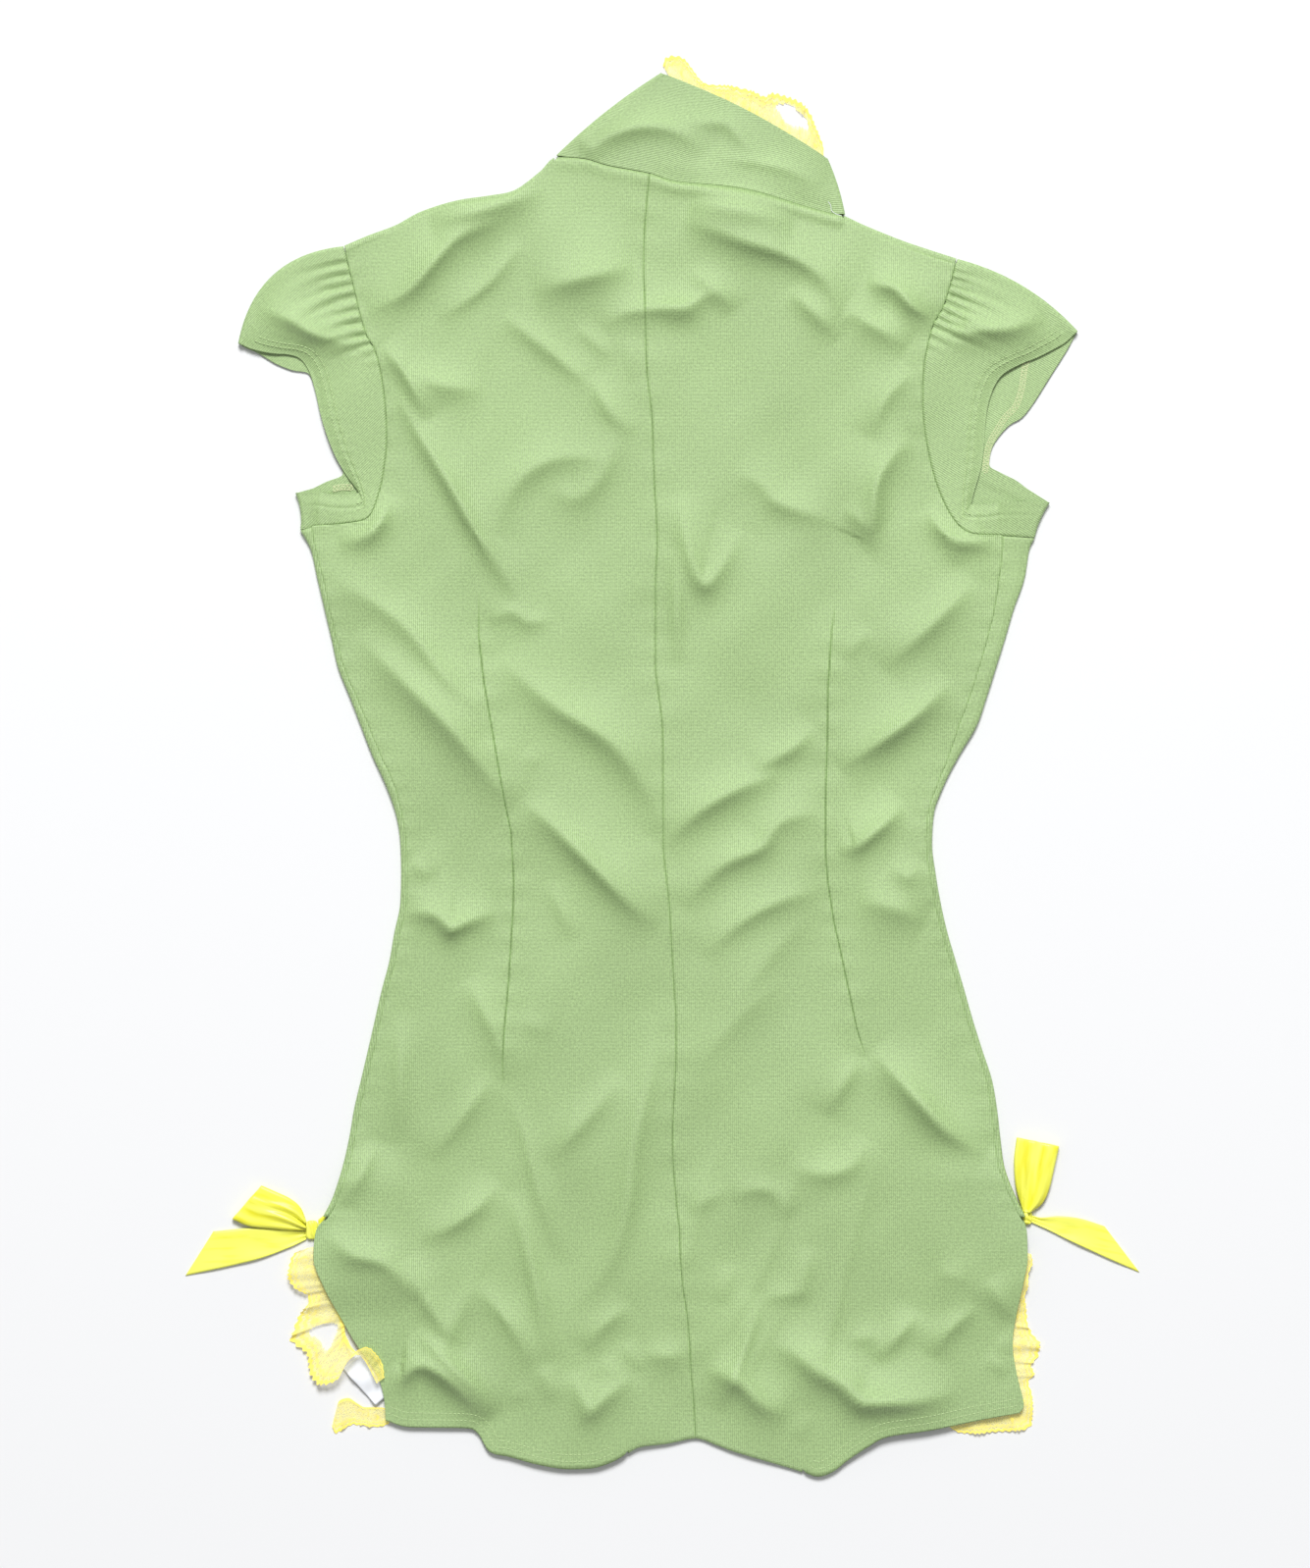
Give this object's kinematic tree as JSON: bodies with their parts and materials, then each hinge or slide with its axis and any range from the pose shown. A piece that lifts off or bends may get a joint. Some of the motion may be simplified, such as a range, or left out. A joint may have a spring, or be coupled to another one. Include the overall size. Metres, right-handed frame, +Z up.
{
  "type": "costume romper",
  "caption": "Knit costume romper laid flat, back up, with gathered cap sleeves, a stand collar with lace, laced leg slits and ribbon bows.",
  "frame": {"origin": "middle of the footprint, on the table that the garment lies on", "axes": "+X across the garment to the right of the picture, +Y towards the collar, +Z up from the table"},
  "size_m": [0.5589, 0.8325, 0.0106],
  "materials": {
    "knit": "soft satin rib knit",
    "ribbon": "satin",
    "lace": "gathered lace",
    "label": "woven satin"
  },
  "bodies": {
    "root": {"back_left": "knit", "back_right": "knit", "front_left": "knit", "front_right": "knit", "sleeve_left": "knit", "sleeve_right": "knit", "collar": "knit", "collar_lace": "lace", "slit_lace_left": "lace", "slit_lace_left_front": "lace", "slit_lace_right": "lace", "bow_left_knot": "ribbon", "bow_left_loop": "ribbon", "bow_left_tail": "ribbon", "bow_left_hidden_loop": "ribbon", "bow_left_hidden_tail": "ribbon", "bow_right_knot": "ribbon", "bow_right_loop": "ribbon", "bow_right_tail": "ribbon", "bow_right_hidden_loop": "ribbon", "bow_right_hidden_tail": "ribbon", "care_label": "label"}
  },
  "joints": []
}
